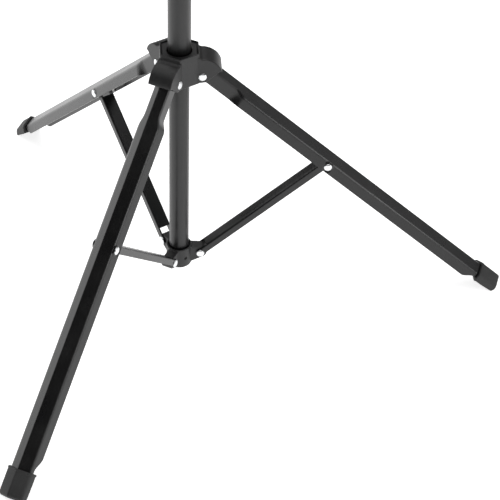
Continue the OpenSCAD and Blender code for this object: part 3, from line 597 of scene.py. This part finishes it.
def boot_points():
    """Grid of a boot: rows from the blind inside out over the rim to the rounded nose.

    Each row is a station, how far the leg's outline is moved outwards, how round its corners are
    and its scale, which closes the first and the last row onto the middle.
    """
    wall, nose, edge, start, end = (BOOT[k] for k in ("wall", "nose", "edge", "start", "end"))
    inside, step, closed = BOOT["inner_edge"], BOOT["step"], BOOT["closed"]
    proud, blind, rim_end = wall + BOOT["rim"], end - BOOT["blind"], start + BOOT["rim_length"]
    rows = [(blind, 0.0, inside, closed), (blind, 0.0, inside, 1.0), (start + 1 * MM, 0.0, inside, 1.0),
            (start, BOOT["lip"], BOOT["mouth_edge"], 1.0), (start, wall - step, edge, 1.0),
            (start + step, proud, edge, 1.0), (rim_end, proud, edge, 1.0),
            (rim_end + step, wall, edge, 1.0), (start + 10 * MM, wall, edge, 1.0)]
    for angle in np.radians(np.linspace(0, 90, 8)):
        rows.append((end - nose + nose * math.sin(angle), wall - nose * (1 - math.cos(angle)), edge, 1.0))
    rows.append((end, wall - nose, edge, closed))
    x, grow, edges, scale = np.array(rows).T
    loop = boot_loop(grow, edges, scale)
    return np.concatenate([np.broadcast_to(x[:, None, None], loop.shape[:2] + (1,)), loop], axis=-1)


SOFT_SHARP_DEGREES = 40
boot_grid = boot_points()
for side in SIDES:
    grid = placed(boot_grid, *leg_axes(side))
    grid[..., 2] = np.maximum(grid[..., 2], 0.0)
    boot = skin_of(side + "_boot_cap", grid, sharp_degrees=SOFT_SHARP_DEGREES)
    stands_for(boot, [side + "_boot"], "boot rubber")
print("boots rest at height", round(float(grid[..., 2].min()), 5))

# %% [markdown]
# Rivets are set cold: the head is a low dome with the small dimple that the tool leaves. The
# same outline serves the hub, the struts and the lower hub, only the grip differs.

# %% Rivets
HEAD = dict(radius=4.1 * MM, height=1.5 * MM, rim=0.12 * MM, shank=2.5 * MM, fullness=0.8,
            dimple=1.1 * MM, dimple_depth=0.25 * MM, segments=48)
ARM_WIDTH = 24 * MM
STRUT_GRIP = 14.2 * MM


def rivet_outline(grip):
    """Outline of a rivet: dimpled dome, shank through the grip, and a dome again.

    The dome's height is a power of a cosine, less a bell curve for the dimple, and it stands on
    a low upright rim.
    """
    r, h, rim = HEAD["radius"], HEAD["height"], HEAD["rim"]
    turn = np.linspace(0.0, math.pi / 2, 13)
    radius = r * np.sin(turn)
    dome = h * np.cos(turn) ** HEAD["fullness"]
    dome = dome - HEAD["dimple_depth"] * np.exp(-((radius / HEAD["dimple"]) ** 2))
    top = np.stack([radius, grip / 2 + rim + dome * (1 - rim / h)], axis=1)
    side = np.array([[r, grip / 2], [HEAD["shank"], grip / 2]])
    half = np.vstack([top, side])
    return np.vstack([half, half[::-1] * [1, -1]])


def rivets(name, places, grip, cad_nodes):
    """Rivets at several pins, joined into one piece."""
    made = [turned(name + str(k), rivet_outline(grip), centre, pin, HEAD["segments"])
            for k, (centre, pin) in enumerate(places)]
    return join(made, name, cad_nodes, "rivet zinc")


def join(made, name, cad_nodes, material):
    """Joins finished parts into one piece."""
    first = made[0]
    if len(made) > 1:
        with bpy.context.temp_override(active_object=first, selected_editable_objects=made, object=first,
                                       selected_objects=made):
            bpy.ops.object.join()
    first.name = name
    first.data.name = name
    return stands_for(first, cad_nodes, material)


rivets("leg_rivets", [(hub_pins[side][0], hub_pins[side][2]) for side in SIDES], ARM_WIDTH, ["hub_rivets"])
rivets("foot_rivets", [(foot_pins[side][0], foot_pins[side][2]) for side in SIDES], STRUT_GRIP,
       ["lower_hub_rivets"])
for side in SIDES:
    pin, along, across, outward = leg_axes(side)
    centre = pin + mid_reach * along + MID_RISE * outward
    rivets(side + "_leg_strut_rivet", [(centre, across)], 2 * SEAT["half"], [side + "_strut_rivet"])
print("link length", round(link / MM, 3), "mm")

# %% [markdown]
# Mouldings and castings have no sharp edges: the tool is rounded so that the plastic flows.
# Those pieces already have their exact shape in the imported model, so a copy is taken, welded,
# rebuilt as an even fine skin and relaxed a little. That leaves every outer edge with the soft
# round of a moulding. Pressed sheet keeps its crisp shape and only gets its edges broken.

# %% Softened copies
WELD_DISTANCE = 0.001 * MM
FLAT_DEGREES, SHADE_DEGREES = 0.5, 30


def cad_copy(name, node):
    """Copy of a CAD node's mesh with its loose triangles welded."""
    mesh = nodes[node].data.copy()
    mesh.name = name
    obj = bpy.data.objects.new(name, mesh)
    bpy.context.scene.collection.objects.link(obj)
    skin = bmesh.new()
    skin.from_mesh(mesh)
    bmesh.ops.remove_doubles(skin, verts=skin.verts, dist=WELD_DISTANCE)
    flat = math.radians(FLAT_DEGREES)
    bmesh.ops.dissolve_limit(skin, angle_limit=flat, verts=skin.verts, edges=skin.edges)
    skin.to_mesh(mesh)
    skin.free()
    return obj


def broken_edges(name, node, material, width):
    """Copy of a CAD node with its sharp edges bevelled, over a width in millimetres."""
    obj = cad_copy(name, node)
    obj.data.shade_smooth()
    obj.data.set_sharp_from_angle(angle=math.radians(SHADE_DEGREES))
    bevel_edges(obj, "broken edges", width, segments=2, angle=35).harden_normals = True
    return stands_for(obj, [node], material)


def moulded(node, voxel, relax):
    """Copy of a CAD node rebuilt as an even skin and relaxed, so that its edges turn soft."""
    obj = cad_copy(node + "_moulding", node)
    skin = obj.modifiers.new("even skin", "REMESH")
    skin.mode = "VOXEL"
    skin.voxel_size = voxel * MM
    skin.use_smooth_shade = True
    soft = obj.modifiers.new("soft edges", "SMOOTH")
    soft.factor = 0.5
    soft.iterations = relax
    return stands_for(obj, [node], "moulded plastic")


moulded("upper_hub", voxel=0.45, relax=7)
moulded("lower_hub", voxel=0.4, relax=5)
moulded("clamp_collar", voxel=0.45, relax=6)
moulded("desk_head", voxel=0.5, relax=6)
for side in SIDES:
    broken_edges(side + "_strut_channel", side + "_strut", "leg coat", width=0.25)
broken_edges("desk_bracket_plate", "desk_bracket", "desk coat", width=0.4)
broken_edges("desk_plate_sheet", "desk_plate", "desk coat", width=0.5)
broken_edges("desk_ledge_sheet", "desk_shelf", "desk coat", width=0.4)
print("softened copies:", [n for n in pieces if "moulding" in n])

# %% [markdown]
# The knobs are turned grips with eight scallops for the fingers. The radius is a circle less a
# smooth dip at each scallop, and it closes over the rounded ends, so the whole grip is again
# one grid: the angle runs one way and the outline the other.

# %% Knobs
KNOB = dict(radius=15 * MM, lobes=8, scallop=1.9 * MM, narrowness=1.5, edge=2.6 * MM, segments=192,
            neck_length=5 * MM, neck_edge=0.5 * MM, dish_rim=0.62, dish_wall=0.58, dish_middle=0.3,
            dish_depth=0.4 * MM, dish_rise=0.2 * MM, centre_depth=0.15 * MM)


def knob_points(origin, along, neck, length):
    """Grip: neck, shoulder, scalloped rim and shallow dish, with scallops fading towards the middle."""
    e, r, foot = KNOB["edge"], KNOB["radius"], KNOB["neck_length"]
    base = [[0.0, 0.0], [neck - KNOB["neck_edge"], 0.0], [neck, KNOB["neck_edge"]], [neck, foot]]
    dish = [[r * KNOB["dish_rim"], length], [r * KNOB["dish_wall"], length - KNOB["dish_depth"]],
            [r * KNOB["dish_middle"], length - KNOB["dish_rise"]], [0.0, length - KNOB["centre_depth"]]]
    outline = np.vstack([base, rounded_corner((r - e, foot + e), e, -90, 0, 7),
                         rounded_corner((r - e, length - e), e, 0, 90, 9), dish])
    turn = np.linspace(0.0, 2.0 * math.pi, KNOB["segments"], endpoint=False)[None, :]
    radius, height = outline[:, :1], outline[:, 1:]
    share = smooth_step((radius - neck) / (r - neck))
    lobe = np.clip(np.cos(KNOB["lobes"] * turn), 0.0, 1.0) ** KNOB["narrowness"]
    radius = radius - KNOB["scallop"] * share * lobe
    other = np.cross(along, UP)
    return (origin + height[..., None] * along + (radius * np.cos(turn))[..., None] * UP
            + (radius * np.sin(turn))[..., None] * other)


def knob(name, node, joint_name, neck):
    """Knob in place of its CAD grip, on its joint's axis."""
    joint = joints[joint_name]
    along = np.array(joint["axis"], float)
    centre = np.array(joint["pos_m"], float)
    near, far = sorted(float((np.array(corner) - centre) @ along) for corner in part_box(node))
    grid = knob_points(centre + near * along, along, neck, far - near)
    stands_for(skin_of(name, grid, sharp_degrees=SOFT_SHARP_DEGREES), [node], "knob plastic")
    return (far - near) / MM


for name, neck in (("height_knob", 7.5 * MM), ("tilt_knob", 9.5 * MM)):
    print(name, round(knob(name, name + "_grip", name + "_turn", neck), 2), "mm long")

# %% [markdown]
# Small pieces inside the mouldings hardly show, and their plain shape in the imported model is
# already right. They keep it and only take a finish.

# %% Plain CAD pieces take their finishes
LEFT_AS_BUILT = {
    "dark nylon": ["lower_sleeve", "inner_pole_plug", "upper_pole_glide"],
    "white nylon": ["right_strut_bushes", "front_strut_bushes", "left_strut_bushes", "clamp_pad",
                    "tilt_washers"],
    "black oxide": ["lower_hub_screw"],
    "bolt zinc": ["hub_pin", "height_knob_screw", "desk_head_screw", "tilt_bolt", "tilt_knob_nut"],
    "desk coat": ["desk_rivets", "shelf_rivets"],
}
for finish, names in LEFT_AS_BUILT.items():
    for name in names:
        nodes[name].data.materials.clear()
        nodes[name].data.materials.append(materials[finish])
print("kept as built:", sum(len(v) for v in LEFT_AS_BUILT.values()))

# %% [markdown]
# The stand is shown in a white studio. The floor glows a little by itself, so that it stays pale
# right up to the horizon and only the softest shadows show on it.

# %% Floor
WHITE = (1.0, 1.0, 1.0, 1.0)
FLOOR = dict(half=30.0, drop=0.2 * MM, tone=0.92, rough=0.9, gloss=0.1, glow=0.8)


def floor_sheet():
    """Large pale floor, a touch below the boots."""
    t = np.linspace(-FLOOR["half"], FLOOR["half"], 7)
    x, y = np.meshgrid(t, t)
    points = np.stack([x, y, np.full_like(x, -FLOOR["drop"])], axis=-1)
    obj = skin_of("floor", points, wrap_cols=False)
    material = bpy.data.materials.new("pale floor")
    material.use_nodes = True
    shader = material.node_tree.nodes["Principled BSDF"]
    shader.inputs["Base Color"].default_value = (FLOOR["tone"], FLOOR["tone"], FLOOR["tone"], 1.0)
    shader.inputs["Roughness"].default_value = FLOOR["rough"]
    shader.inputs["Specular IOR Level"].default_value = FLOOR["gloss"]
    shader.inputs["Emission Color"].default_value = WHITE
    shader.inputs["Emission Strength"].default_value = FLOOR["glow"]
    obj.data.materials.append(material)
    return obj


print("floor", floor_sheet().dimensions.x, "m wide")

# %% [markdown]
# Black gloss shows only what it reflects, so the lights are shaped for their reflections. A box
# overhead lights the tops of the legs, one on the left draws the long highlight down the tubes,
# and a box and a low strip on the right pick out the flanges. The world adds a trace of light
# from everywhere.

# %% Studio light
WORLD_STRENGTH = 0.06
world = bpy.data.worlds.new("studio")
bpy.context.scene.world = world
world.use_nodes = True
world.node_tree.nodes["Background"].inputs["Color"].default_value = WHITE
world.node_tree.nodes["Background"].inputs["Strength"].default_value = WORLD_STRENGTH
bpy.context.scene.view_settings.view_transform = "Standard"


def soft_box(name, offset, target, width, height, power):
    """Rectangular soft light that stands off from a target and faces it."""
    light = bpy.data.lights.new(name, "AREA")
    light.shape = "RECTANGLE"
    light.size = width
    light.size_y = height
    light.energy = power
    obj = bpy.data.objects.new(name, light)
    bpy.context.scene.collection.objects.link(obj)
    offset = Vector(offset)
    facing = (-offset).to_track_quat("-Z", "Y").to_matrix().to_4x4()
    obj.matrix_world = Matrix.Translation(target + offset) @ facing
    return obj


LIT_HEIGHT = 0.25
middle = Vector((0.0, float(pole_place[1]), LIT_HEIGHT))
soft_boxes = [
    soft_box("left soft box", (-2.2, -0.1, 0.35), middle, width=1.6, height=1.2, power=12.0),
    soft_box("right soft box", (2.2, 1.0, 0.8), middle, width=1.6, height=1.2, power=4.0),
    soft_box("low strip", (2.3, -0.1, 0.22), middle, width=0.9, height=0.35, power=6.0),
    soft_box("top soft box", (0.0, 0.6, 3.2), middle, width=4.5, height=4.5, power=110.0),
]
print("lights:", [box.name for box in soft_boxes])

# %% [markdown]
# The camera looks down on the tripod from the right, past the front leg, through a long lens
# that keeps the legs nearly parallel. Its place is given from the pole's foot, and its aim as
# how far it looks down, how far it is turned to the left and how far it is rolled.

# %% Camera
PITCH, YAW, ROLL = math.radians(39.961), math.radians(25.072), math.radians(1.88)
FOCAL, SENSOR = 137.2, 36.0
CAMERA_FROM_POLE = np.array([0.6994, -1.3234, 1.3095])
camera_place = pole_place + CAMERA_FROM_POLE
ahead = np.array([-math.sin(YAW) * math.cos(PITCH), math.cos(YAW) * math.cos(PITCH), -math.sin(PITCH)])
level = np.array([math.cos(YAW), math.sin(YAW), 0.0])
above = np.cross(level, ahead)
right = math.cos(ROLL) * level + math.sin(ROLL) * above
upward = -math.sin(ROLL) * level + math.cos(ROLL) * above
camera = bpy.data.cameras.new("camera")
camera.sensor_width = SENSOR
camera.lens = FOCAL
camera_object = bpy.data.objects.new("camera", camera)
bpy.context.scene.collection.objects.link(camera_object)
turn = Matrix((right, upward, -ahead)).transposed().to_4x4()
camera_object.matrix_world = Matrix.Translation(Vector(camera_place)) @ turn
bpy.context.scene.camera = camera_object
print("camera", round(float(np.linalg.norm(camera_place - pole_place)), 3), "m from the pole's foot")

# %% Update the scene
bpy.context.view_layer.update()
